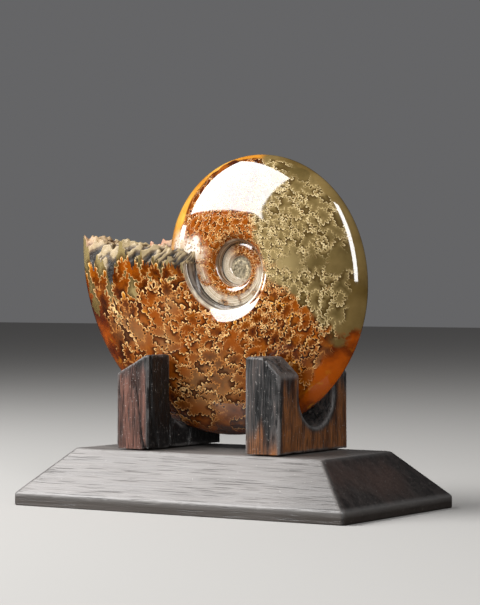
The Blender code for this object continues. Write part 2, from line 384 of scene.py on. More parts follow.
class SutureFields:
    """Every suture drawn into a grid of growth angle by signed girth, and read back between its nodes.

    fold: the distance to the nearest suture, as it would be on the venter, above 0 in even chambers and below
    it in odd ones, so that it passes straight through 0 at each line. behind: 1 where the nearest suture lies
    ahead, inside its saddles, and 0 inside its lobes. tip: how far the blurred chambers lean to one side of
    the nearest line, above 0 at the tips of its saddles and below 0 at those of its lobes. crown: the same
    from a wider blur. tone: the chamber's own value.
    """

    def __init__(self, oldest, newest, widest, seed):
        rng = np.random.default_rng(seed)
        self.start = np.array([oldest, -widest])
        self.shape = (int((newest - oldest) / FIELD_STEP) + 1, int(2 * widest / FIELD_STEP) + 1)
        places = np.concatenate([
            np.arange(OLDER_FROM - SEPTUM_STEP, oldest - SEPTUM_STEP, -OLDER_STEP)[::-1],
            np.arange(NEWEST_SUTURE, OLDER_FROM - 0.5 * SEPTUM_STEP, -SEPTUM_STEP)[::-1],
        ])
        count = len(places)
        nearest = np.full((2, self.shape[0] * self.shape[1]), (FIELD_REACH * FIELD_STEP) ** 2)
        crossings = np.zeros(self.shape, int)
        self.values = rng.uniform(0.0, 1.0, count + 2)
        self.values[count] = 1.5
        for index in range(count):
            line = suture_line(rng, OLDER_FRILLS if places[index] < OLDER_FROM else FRILLS)
            line[:, 0] += places[index]
            self.draw(line, nearest[index % 2])
            self.cross(line, crossings)
        chamber = np.clip(np.cumsum(crossings, axis=0), 0, count)
        sign = 1.0 - 2.0 * (chamber % 2)
        even, odd = nearest.reshape(2, *self.shape)
        # Between sutures k - 1 and k is chamber k, whose own sign is minus where k is odd
        ahead_is_near = np.where(chamber % 2 == 0, even <= odd, odd <= even)
        self.behind = ahead_is_near.astype(float)
        self.fold = np.sqrt(np.minimum(even, odd)) * sign
        self.tip = blur(sign, 5.0) * np.where(ahead_is_near, -sign, sign)
        self.crown = blur(sign, 13.0) * np.where(ahead_is_near, -sign, sign)
        self.chamber = chamber

    def draw(self, line, nearest):
        """Keeps each node's least squared distance to the line's points, in a square window round each."""
        spot = (line - self.start) / FIELD_STEP
        base = np.rint(spot).astype(int)
        window = np.arange(-FIELD_REACH, FIELD_REACH + 1)
        for across in window:
            u = base[:, 0] + across
            for down in window:
                v = base[:, 1] + down
                inside = (u >= 0) & (u < self.shape[0]) & (v >= 0) & (v < self.shape[1])
                gap = ((spot[:, 0] - u) ** 2 + (spot[:, 1] - v) ** 2)[inside] * FIELD_STEP**2
                np.minimum.at(nearest, (u * self.shape[1] + v)[inside], gap)

    def cross(self, line, crossings):
        """Adds 1 where the line crosses a row of nodes going back, and takes 1 where it comes forwards."""
        spot = (line - self.start) / FIELD_STEP
        row = np.floor(spot[:, 1]).astype(int)
        change = np.diff(row)
        at = np.flatnonzero(change)
        crossed = np.maximum(row[at], row[at + 1])
        share = (crossed - spot[at, 1]) / (spot[at + 1, 1] - spot[at, 1])
        growth = spot[at, 0] + share * (spot[at + 1, 0] - spot[at, 0])
        ahead = np.clip(np.ceil(growth).astype(int), 0, None)
        inside = (ahead < self.shape[0]) & (crossed >= 0) & (crossed < self.shape[1])
        np.add.at(crossings, (ahead[inside], crossed[inside]), np.sign(change[at])[inside])

    def read(self, growth, girth):
        """The fields at any spots as named values. fold is straight between the four nodes round a spot."""
        u = np.clip((growth - self.start[0]) / FIELD_STEP, 0, self.shape[0] - 1.001)
        v = np.clip((girth - self.start[1]) / FIELD_STEP, 0, self.shape[1] - 1.001)
        i, j = u.astype(int), v.astype(int)
        a, b = u - i, v - j
        weights = ((1 - a) * (1 - b), a * (1 - b), (1 - a) * b, a * b)
        corners = ((i, j), (i + 1, j), (i, j + 1), (i + 1, j + 1))
        nearest = (np.rint(u).astype(int), np.rint(v).astype(int))
        return {
            "fold": sum(w * self.fold[c] for w, c in zip(weights, corners)) / swelling(girth),
            "tip": self.tip[nearest],
            "crown": self.crown[nearest],
            "behind": self.behind[nearest],
            "tone": self.values[self.chamber[nearest]],
        }


# ---------------------------------------------------------------- meshes


def grid_faces(points, turned=False):
    """Quads of a grid of points, numbered along each row in turn. turned makes them face the other way."""
    rows, columns = points.shape[:2]
    at = (np.arange(rows - 1)[:, None] * columns + np.arange(columns - 1)[None, :]).ravel()
    faces = np.stack([at, at + 1, at + columns + 1, at + columns], axis=1)
    return faces[:, ::-1] if turned else faces


def mesh_piece(name, points, faces, material, values=None, normals=None):
    """A smooth-shaded object on the root body from arrays of points and faces, with named vertex values."""
    mesh = bpy.data.meshes.new(name)
    mesh.from_pydata(points.reshape(-1, 3).tolist(), [], faces.tolist())
    for key, value in (values or {}).items():
        stored = mesh.attributes.new(key, "FLOAT", "POINT")
        stored.data.foreach_set("value", np.asarray(value, np.float32).ravel())
    mesh.shade_smooth()
    if normals is not None:
        mesh.normals_split_custom_set_from_vertices(normals.reshape(-1, 3).tolist())
    mesh.materials.append(material)
    piece = bpy.data.objects.new(name, mesh)
    bpy.context.scene.collection.objects.link(piece)
    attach(piece, "root")
    return piece


def grid_normals(points):
    """Unit normals of a grid, from the cross product of its two directions' differences."""
    down, along = np.gradient(points, axis=0), np.gradient(points, axis=1)
    normal = np.cross(along, down)
    return normal / np.maximum(np.linalg.norm(normal, axis=-1, keepdims=True), 1e-12)


def outward_normals(points):
    """Normals of a closed grid that point away from its middle, and whether grid_normals already did."""
    normals = grid_normals(points)
    turned = bool(np.sum(normals * (points - points.mean(axis=(0, 1)))) > 0.0)
    return (normals if turned else -normals), turned


def close_grid(points):
    """Joins a grid's last column to its first, and draws each end row together to a point."""
    points[:, -1] = points[:, 0]
    for end in (0, -1):
        points[end] = points[end].mean(axis=0)


def side_name(side):
    return "front" if side < 0 else "back"


def girth_rows(step):
    """Girths over the seam's girth, evenly spaced on the flank and wider on the umbilical wall."""
    fine = np.arange(0.0, 1.25, step)
    coarse = np.linspace(fine[-1], girth_of(seam_share(-1.0)), 28)[1:]
    rows = np.concatenate([fine, coarse])
    return rows / rows[-1]


def wall_share(girth, growth):
    """1 at the seam, falling to 0 at the umbilical shoulder."""
    share = share_of(np.abs(girth))
    return np.clip(1.0 - (share - seam_share(growth)) / SHOULDER, 0.0, 1.0)


def flank_points(part, growth):
    """Points of the last turn at signed parts of the seam's girth, negative on the front, and their girths.

    A point's height over the middle plane is the section's half thickness, below 0 on the front flank, with
    a slight ripple. Towards the last septum, points slide on to its folded edge.
    """
    girth = part * girth_of(seam_share(growth))
    share = np.maximum(share_of(np.abs(girth)), seam_share(growth))
    height = np.sign(part) * wall_height(share, growth)
    height = height * (1.0 + 0.006 * ripple(growth, girth, 5, 9.0))
    hold = np.clip(1.0 + growth / FOLD_RUN, 0.0, 1.0)
    slide = hold * sum(edge_fold(girth)) / (LAST_RADIUS * share)
    return place(rounded_share(share), height, growth, slide), girth, growth + slide


def zones(points, growth, girth, tone):
    """Where the calcite changes, each from 0 to 1, from the place, growth, girth and the chamber's tone.

    olive: above a slanting line at the right. glow: the plain rim along the venter, whose width changes with
    growth. honey: its yellower part. milk and crust: pale patches round set places. veil: where sutures show.
    """
    x, z = points[..., 0], points[..., 2]
    broad = lattice_noise(points, (70.0, 70.0, 70.0), 21) - 0.5
    fine = lattice_noise(points, (330.0, 330.0, 330.0), 22) - 0.5
    shift = 0.016 * broad + 0.004 * fine + 0.004 * (np.minimum(tone, 1.0) - 0.5)
    olive = smooth(z + 0.6 * x + shift, 0.0895, 0.0935) * smooth(
        x + 0.10 * (z - 0.085) + 0.6 * shift, 0.014, 0.018
    )
    widths = np.interp(growth, *zip(*RIM_WIDTHS)) * (1.0 + 0.9 * broad + 0.5 * fine)
    rim = smooth(np.abs(girth) / np.maximum(widths, 1e-4), 1.05, 0.75)
    honey = np.interp(growth, (-6.6, -5.9, -4.7, -4.3), (0.0, 1.0, 1.0, 0.0))
    patches = {}
    for name, spots in (("milk", MILKY_SPOTS), ("crust", CHALKY_SPOTS)):
        amount = 0.0
        for spot_x, spot_z, reach in spots:
            amount = amount + bell(np.hypot(x - spot_x, z - spot_z), 0.0, reach)
        patches[name] = np.clip(amount * np.where(points[..., 1] < SHELL_Y, 1.0, 0.0), 0.0, 1.0) + 0.0 * x
    veil = smooth(broad + 0.5 + 0.25 * fine, 0.10, 0.24)
    return {"olive": olive, "glow": rim, "honey": rim * honey, "veil": veil, **patches}


def build_flanks(fields, material, side, step):
    """One flank of the last turn in four quarters, each one grid from the seam to the venter.

    The grid is worked out one step wider all round, so that neighbours' normals agree along their seams.
    """
    rows = girth_rows(step)
    rows = np.concatenate([[-rows[1]], rows, [rows[-1]]])
    part = side * rows[:, None] if side > 0 else side * rows[::-1, None]
    inside = (slice(1, -1), slice(1, -1))
    pieces = []
    for quarter, name in enumerate(("first", "second", "third", "last")):
        count = round(math.pi / 2 / (step * 1.09))
        start = -math.tau + quarter * math.pi / 2
        growth = (start + math.pi / 2 / count * np.arange(-1, count + 2))[None, :]
        points, girth, real = flank_points(part, growth)
        normals = grid_normals(points)[inside]
        points, girth, real = points[inside], girth[inside], real[inside]
        values = {
            **fields.read(real, girth), "wall": wall_share(girth, growth[:, 1:-1]), "filled": 0.0 * girth
        }
        values.update(zones(points, real, girth, values["tone"]))
        # The lower half, where the umbilical wall takes its grey and cream colours, with painted shade and
        # highlight
        low = smooth(np.sin(LAST_ANGLE - growth[:, 1:-1]), 0.35, -0.25)
        values.update({"arc": 0.4 * values["wall"], "lime_and_highlight": low + 0.0 * girth, "old": 0.0 * girth})
        name = f"flank_{side_name(side)}_{name}"
        pieces.append(mesh_piece(name, points, grid_faces(points), material, values, normals))
    return pieces


def heaped(radius):
    """How far the filling stone rises towards the middle: less by the square of the radius."""
    return HEAP_HEIGHT * np.maximum(1.0 - (radius / HEAP_RADIUS) ** 2, 0.0)


def build_umbilicus(fields, material, side):
    """The older turns that show inside the last one: a band from each turn's seam to the next turn's seam.

    Where the flank would lie below the stone that fills the middle, the stone's uneven level takes its place.
    """
    growth = np.linspace(OLDEST, -math.tau, 1100)[None, :]
    along = np.linspace(0.0, 1.0, 30)[:, None]
    seam = seam_share(growth)
    share = seam + (seam_share(growth + math.tau) * WHORL_GROWTH - seam) * along
    height = wall_height(share, growth)
    girth = girth_of(share)
    relief = 0.00008 * ripple(growth * 3.0, girth * 3.0, 9, 14.0) + 0.00030 * np.sin(math.pi * along) ** 2
    stone = FILLING + relief + heaped(share * venter_radius(growth))
    level = np.maximum(height, stone)
    points = place(share, side * level, growth)
    normals = grid_normals(points) * -side
    values = fields.read(growth + 0.0 * share, side * girth)
    values["wall"] = wall_share(girth, growth)
    values["filled"] = np.clip((stone - height) / 0.0004 + 0.5, 0.0, 1.0)
    values.update(zones(points, growth + 0.0 * share, np.ones_like(share), values["tone"]))
    values["arc"] = along + 0.0 * growth
    # Where a white deposit and a painted highlight go: the outer band on the lower half, and a wide sector of
    # the oldest turns
    outer = smooth(along, 0.45, 0.75) * smooth(np.sin(LAST_ANGLE - growth), 0.25, -0.25)
    inner = smooth(np.cos(LAST_ANGLE - growth - 0.6), 0.60, 0.25)
    values["lime_and_highlight"] = outer + (np.maximum(inner, outer) - outer) * smooth(
        growth, -3.5 * math.pi, -3.9 * math.pi
    )
    values["old"] = np.ones_like(share)
    name = "inner_turns_" + side_name(side)
    return mesh_piece(name, points, grid_faces(points, side > 0), material, values, normals)


def build_middle(material, side):
    """The rounded heap of stone where the inner turns end: its height falls by the square of the radius."""
    reach = 1.25 * venter_radius(OLDEST)
    radius = np.linspace(0.0, 1.0, 24)[:, None]
    angle = np.linspace(0.0, math.tau, 72)[None, :]
    rise = FILLING + heaped(reach * radius) + 0.0003 * (1.0 - radius**2)
    points = around(reach * radius, angle, side * rise)
    points[..., 1] += side * 0.0002 * (lattice_noise(points, (900.0, 900.0, 900.0), 31) - 0.5)
    points[:, -1] = points[:, 0]
    points[0] = points[0].mean(axis=0)
    values = {name: np.full(points.shape[:2], 1.0 if name == "filled" else 0.0) for name in CALCITE_VALUES}
    name = "middle_stone_" + side_name(side)
    return mesh_piece(name, points, grid_faces(points, side < 0), material, values)


def build_septum(material):
    """The last septum: straight between its folded outer edge and the turn that it stands on.

    A point lies at a depth from 0 at the edge to 1 at the inner turn. The edge's broad, middling and fine
    folds fade with depth, the finer the sooner, into an uneven floor that stands further forward. How far a
    point stands out of its blurred surroundings, raised right at the edge, is kept as painted shade and
    light:
    the material darkens the hollows and lightens the crests and the edge by it.
    """
    rows = girth_rows(0.0045) * girth_of(seam_share(0.0))
    girth = np.concatenate([-rows[::-1], rows[1:]])[None, :]
    depth = (np.linspace(0.0, 1.0, 90) ** 1.5)[:, None]
    share = np.maximum(share_of(np.abs(girth)), seam_share(0.0))
    outer_r = rounded_share(share) * LAST_RADIUS
    outer_y = np.sign(girth) * wall_height(share, 0.0)
    inner_share = seam_share(0.0) * WHORL_GROWTH + (1.0 - seam_share(0.0) * WHORL_GROWTH) * np.clip(
        (share - seam_share(0.0)) / (1.0 - seam_share(0.0)), 0.0, 1.0
    )
    inner_r = rounded_share(inner_share) * venter_radius(-math.tau)
    inner_y = np.sign(girth) * half_thickness(inner_share, -math.tau)
    radius = outer_r + (inner_r - outer_r) * depth
    height = outer_y + (inner_y - outer_y) * depth
    gap = np.hypot(outer_r - inner_r, outer_y - inner_y) * depth
    broad, middling, fine = edge_fold(girth)
    ribs = middling * np.exp(-((gap / 0.0046) ** 1.6))
    knobs = fine * np.exp(-((gap / 0.0024) ** 1.4))
    flat = np.stack([radius, height + 0.0 * radius, gap], axis=-1)
    lumps = lattice_noise(flat, (300.0, 300.0, 110.0), 61)
    lumps = lumps + 0.9 * lattice_noise(flat, (700.0, 700.0, 420.0), 62) - 0.95
    floor = 0.0036 * smooth(gap, 0.0, 0.0050) + 0.0024 * lumps * smooth(gap, 0.0003, 0.0022)
    forward = broad * np.exp(-((gap / 0.0058) ** 1.4)) + ribs + knobs + floor
    angle = LAST_ANGLE - forward / radius
    radius = radius * WHORL_GROWTH ** (forward / radius / math.tau)
    points = around(radius, angle, height)
    # Painted shade and light by relief: low where a point sits below its blurred surroundings, high on crests
    # and right at the edge
    relief_shading = (forward - blur(forward, 9.0)) / 0.0005 + 0.8 * np.exp(-gap / 0.0004)
    pink = smooth(share, 0.715, 0.69) * np.where(girth > 0.0, 1.0, 0.0) + 0.5 * smooth(share, 0.90, 0.95)
    values = {"relief_shading": relief_shading, "blush": pink * np.exp(-gap / 0.006)}
    return mesh_piece("last_septum", points, grid_faces(points), material, values)


# ---------------------------------------------------------------- the wooden stand


def grain_relief(points, along, seed):
    """How far weathered wood stands back, in metres, and its cracks from 0 to 1. along is the fibres' axis.

    Fine and middling noise stretched along the fibres, and cracks where a broader noise is close to one half.
    """
    def stretched(across, lengthways):
        return [lengthways if axis == along else across for axis in range(3)]

    fine = lattice_noise(points, stretched(1900.0, 120.0), seed)
    middling = lattice_noise(points, stretched(650.0, 45.0), seed + 1)
    wander = np.abs(lattice_noise(points, stretched(230.0, 17.0), seed + 2) - 0.5)
    crack = smooth(wander, 0.045, 0.008) * smooth(
        lattice_noise(points, stretched(110.0, 40.0), seed + 3), 0.42, 0.58
    )
    return 0.00012 * fine + 0.00012 * middling + 0.0007 * crack, crack


def rounded_loop(half_across, half_up, radius, steps, arc_steps):
    """Offsets (across, up) round rectangles with round corners: one row for each pair of half sizes.

    Each corner's arc has arc_steps points, and each straight side has its number of steps.
    """
    columns = []
    for corner, (a, b) in enumerate(((1.0, 1.0), (-1.0, 1.0), (-1.0, -1.0), (1.0, -1.0))):
        turns = corner * math.pi / 2 + np.linspace(0.0, math.pi / 2, arc_steps)
        ones = np.ones(arc_steps)
        columns.append(np.stack([a * ones, np.cos(turns) - a, b * ones, np.sin(turns) - b]))
    loop = []
    for corner in range(4):
        arc, after = columns[corner], columns[(corner + 1) % 4]
        share = np.linspace(0.0, 1.0, steps[corner % 2] + 1)[None, 1:-1]
        loop += [arc, arc[:, -1:] * (1.0 - share) + after[:, :1] * share]
    loop.append(columns[0][:, :1])
    a, b, c, d = np.concatenate(loop, axis=1)
    return half_across[:, None] * a + radius[:, None] * b, half_up[:, None] * c + radius[:, None] * d


def cradle_path(notch_bottom):
    """Matched points down, under and up a cradle seen along X: on the notch, and on the block's outline.

    Beside the notch both have the same height. Under it they lie on one ray from the middle of its arc.
    """
    half, foot = CRADLE_DEPTH / 2, PLINTH_HEIGHT + GAP
    middle = notch_bottom + NOTCH_RADIUS
    corners = [math.atan2(foot - middle, side * half - NOTCH_Y) % math.tau for side in (-1, 1)]
    stops = [math.pi, corners[0], corners[1], math.tau]
    turns = np.concatenate(
        [np.linspace(a, b, n)[:-1] for a, b, n in zip(stops, stops[1:], (60, 100, 60))] + [[math.tau]]
    )
    inner = np.stack([NOTCH_Y + NOTCH_RADIUS * np.cos(turns), middle + NOTCH_RADIUS * np.sin(turns)], axis=1)
    ray = np.stack([np.cos(turns), np.sin(turns)], axis=1)
    limit = np.where(ray[:, 0] > 0.0, half - NOTCH_Y, half + NOTCH_Y)
    reach = np.minimum(
        limit / np.maximum(np.abs(ray[:, 0]), 1e-9), (middle - foot) / np.maximum(-ray[:, 1], 1e-9)
    )
    outer = np.array([NOTCH_Y, middle]) + ray * reach[:, None]
    rise = np.linspace(CRADLE_TOP - 0.001, middle, 46)[:-1]
    left = [np.stack([np.full_like(rise, y), rise], axis=1) for y in (NOTCH_Y - NOTCH_RADIUS, -half)]
    right = [np.stack([np.full_like(rise, y), rise[::-1]], axis=1) for y in (NOTCH_Y + NOTCH_RADIUS, half)]
    return np.concatenate([left[0], inner, right[0]]), np.concatenate([left[1], outer, right[1]])


def build_cradle(name, side, shoulder, notch_bottom, char_level, material, seed):
    """A weathered block: a rounded rectangle carried along the path under the notch, closed over both tops.

    The path's ends round over by a quarter circle, then shrink to a point. Above the notch's arc, heights are
    pressed down towards the outer edge to the planed shoulder. The grain's relief is taken off inwards.
    """
    radius, cap_rows = CRADLE_EDGE_RADIUS, 14
    inner, outer = cradle_path(notch_bottom)
    turn = np.linspace(0.0, math.pi / 2, 6)[1:]
    shrink = np.concatenate(
        [1.0 - radius * (1.0 - np.cos(turn)) / CHEEK_HALF_WIDTH, np.linspace(0.80, 0.0, cap_rows)]
    )
    lift = np.concatenate([radius * np.sin(turn), np.full(cap_rows, radius)])
    ends = [(inner[0], outer[0], slice(None, None, -1)), (inner[-1], outer[-1], slice(None))]
    middles = (inner + outer) / 2
    halves = (outer - inner) / 2
    rows = []
    for notch, edge, order in ends:
        size = (edge - notch)[None, :] / 2 * shrink[order][:, None]
        spot = np.broadcast_to((notch + edge) / 2, size.shape) + np.stack([0.0 * lift, lift], axis=1)[order]
        rows.append((spot, size, shrink[order]))
    middles = np.concatenate([rows[0][0], middles, rows[1][0]])
    halves = np.concatenate([rows[0][1], halves, rows[1][1]])
    scale = np.concatenate([rows[0][2], np.ones(len(inner)), rows[1][2]])
    half_up = np.linalg.norm(halves, axis=1)
    half_across = CRADLE_THICKNESS / 2 * scale
    corner = np.minimum(radius, 0.5 * np.minimum(half_up, half_across))
    across, up = rounded_loop(half_across, half_up, corner, (30, 34), 6)
    direction = halves / np.maximum(half_up, 1e-9)[:, None]
    y = middles[:, :1] + direction[:, :1] * up
    z = middles[:, 1:] + direction[:, 1:] * up
    x = side * (CRADLE_INNER_X + CRADLE_THICKNESS / 2) + across
    base = notch_bottom + NOTCH_RADIUS
    past = np.abs(x) - (CRADLE_INNER_X + CRADLE_THICKNESS - shoulder[0])
    planed = shoulder[1] / shoulder[0] * (past + np.hypot(past, 0.0007)) / 2
    z = np.where(z > base, base + (z - base) * (1.0 - planed / (CRADLE_TOP - base)), z)
    points = np.stack([x, y, z], axis=-1)
    normals, turned = outward_normals(points)
    sunk, crack = grain_relief(points, 2, seed)
    faded = np.minimum(scale / 0.5, 1.0)[:, None]
    points = points - normals * (sunk * faded)[..., None]
    close_grid(points)
    gaps = np.stack([
        CRADLE_THICKNESS / 2 - np.abs(across), half_up[:, None] - np.abs(up), np.abs(CRADLE_TOP - planed - z)
    ])
    edge = smooth(np.sort(gaps, axis=0)[1], 0.0018, 0.0003)
    outer_level, front_level, inner_level = char_level
    level = inner_level + (outer_level - inner_level) * smooth(x * side, 0.0290, 0.0325)
    level = level + (front_level - level) * smooth(y, -0.0195, -0.0220)
    char = smooth(
        z - level + 0.012 * (lattice_noise(points, (420.0, 420.0, 45.0), seed + 4) - 0.5), -0.004, 0.005
    )
    # Black also near the notch's surface and over the whole inner face of the left block
    hollow = smooth(np.hypot(y - NOTCH_Y, z - base) - NOTCH_RADIUS, 0.0030, 0.0008)
    char = np.maximum(char, np.maximum(0.75 * edge, hollow))
    char = char + smooth(x * side, CRADLE_INNER_X + 0.0030, CRADLE_INNER_X + 0.0004) * (
        1.0 if side < 0 else 0.0
    )
    values = {"crack": crack, "edge": edge, "char": char}
    return mesh_piece(name, points, grid_faces(points, turned), material, values)


def build_plinth(material):
    """The board: a rounded rectangle whose half sizes and height follow a soft-cornered profile, and closed.

    The profile runs under the board, up the rim, up the slope and over the top. Its corners are rounded by a
    moving average of evenly spaced points.
    """
    foot = (PLINTH_LENGTH / 2, PLINTH_DEPTH / 2)
    top = (TOP_LENGTH / 2, TOP_DEPTH / 2, PLINTH_HEIGHT)
    stops = np.array([(0.0, 0.0, 0.0), (*foot, 0.0), (*foot, PLINTH_RIM), top, (0.0, 0.0, PLINTH_HEIGHT)])
    lengths = np.concatenate([[0.0], np.cumsum(np.linalg.norm(np.diff(stops, axis=0), axis=1))])
    even = np.arange(0.0, lengths[-1], 0.0001)
    path = np.stack([np.interp(even, lengths, axis) for axis in stops.T], axis=1)
    kernel = np.hanning(27)[1:-1] / np.hanning(27).sum()
    path = np.stack([averaged(axis, kernel) for axis in path.T], axis=1)
    bounds = (0.0, lengths[1] - 0.002, lengths[2] + 0.002, lengths[3] + 0.0015, lengths[4])
    counts = (14, 34, 54, 46)
    spots = [np.linspace(a, b, n)[:-1] for a, b, n in zip(bounds, bounds[1:], counts)]
    spots = np.concatenate([*spots, lengths[4:]])
    rows = np.stack([np.interp(spots, even, axis) for axis in path.T], axis=1)
    rows[0, :2] = rows[-1, :2] = 0.0
    corner = np.minimum(PLINTH_CORNER_RADIUS, 0.3 * np.minimum(rows[:, 0], rows[:, 1]))
    x, y = rounded_loop(rows[:, 0], rows[:, 1], corner, (200, 110), 7)
    points = np.stack(np.broadcast_arrays(x, y, rows[:, 2:]), axis=-1)
    normals, turned = outward_normals(points)
    fine = lattice_noise(points, (60.0, 900.0, 900.0), 71)
    broad = lattice_noise(points, (25.0, 160.0, 160.0), 72)
    sunk = (0.00005 * fine + 0.00012 * broad) * np.minimum(rows[:, 2:] / 0.001, 1.0)
    wear_and_highlight = smooth(lattice_noise(points, (500.0, 500.0, 500.0), 73), 0.55, 0.95)
    # Reach of the rim's and top's edges: sunk a little for wear, and given a painted highlight by the
    # material
    wear_and_highlight_reach = 0.0022
    rim_edge, top_edge = (np.clip(1.0 - np.abs(lengths[k] - spots) / wear_and_highlight_reach, 0.0, 1.0) for k in (2, 3))
    edge = np.maximum(rim_edge, 0.6 * top_edge)[:, None]
    points = points - normals * (sunk + 0.00015 * wear_and_highlight * edge)[..., None]
    close_grid(points)
    end_grain = smooth(np.abs(normals[..., 0]), 0.25, 0.60)
    hip = smooth(np.abs(np.abs(normals[..., 0]) - np.abs(normals[..., 1])), 0.45, 0.10)
    hip = hip * smooth(normals[..., 2], 0.95, 0.80)
    values = {"edge": edge + 0.0 * x, "end": end_grain, "hip": hip}
    return mesh_piece("board", points, grid_faces(points, turned), material, values)


# ---------------------------------------------------------------- materials


def fill(tree, target, inputs):
    """Links each input of a node that is given a socket, and sets each that is given a value."""
    for key, value in dict(inputs).items():
        if isinstance(value, bpy.types.NodeSocket):
            tree.links.new(value, target.inputs[key])
        else:
            target.inputs[key].default_value = value


def node(tree, kind, inputs=(), **settings):
    """A shader node with its settings, and its inputs linked or set."""
    made = tree.nodes.new("ShaderNode" + kind)
    for key, value in settings.items():
        setattr(made, key, value)
    fill(tree, made, inputs)
    return made


def attribute(tree, name):
    return node(tree, "Attribute", attribute_name=name, attribute_type="GEOMETRY").outputs["Fac"]


def calc(tree, operation, a, b=0.0, clamp=False):
    return node(tree, "Math", {0: a, 1: b}, operation=operation, use_clamp=clamp).outputs[0]


def times(tree, a, b, clamp=False):
    return calc(tree, "MULTIPLY", a, b, clamp)


def step_up(tree, value, low, high):
    """0 below low, 1 above high and a smooth rise between. With high below low it falls."""
    return node(
        tree, "MapRange", {"Value": value, "From Min": low, "From Max": high}, interpolation_type="SMOOTHSTEP"
    ).outputs[0]


def noise(tree, vector, scale, detail=3.0, roughness=0.5, distortion=0.0):
    inputs = {
        "Vector": vector, "Scale": scale, "Detail": detail, "Roughness": roughness, "Distortion": distortion
    }
    return node(tree, "TexNoise", inputs).outputs[0]


def bell_of(tree, value, middle, width):
    """1 where the value is at the middle, falling smoothly to 0 at a width from it."""
    return step_up(tree, calc(tree, "ABSOLUTE", calc(tree, "SUBTRACT", value, middle)), width, 0.0)


def colour_mix(tree, factor, a, b):
    a = (*a, 1.0) if isinstance(a, tuple) else a
    b = (*b, 1.0) if isinstance(b, tuple) else b
    return node(tree, "Mix", {0: factor, 6: a, 7: b}, data_type="RGBA").outputs[2]


def ramp(tree, value, low, high, a, b):
    """Colour a where the value is below low, b above high, and mixed smoothly between."""
    return colour_mix(tree, step_up(tree, value, low, high), a, b)


def layer(tree, under, mask, strength, over):
    """One colour laid over another where a mask says, at a strength."""
    return colour_mix(tree, times(tree, mask, strength), under, over)


def new_material(name):
    material = bpy.data.materials.new(name)
    material.use_nodes = True
    tree = material.node_tree
    return material, tree, tree.nodes["Principled BSDF"]


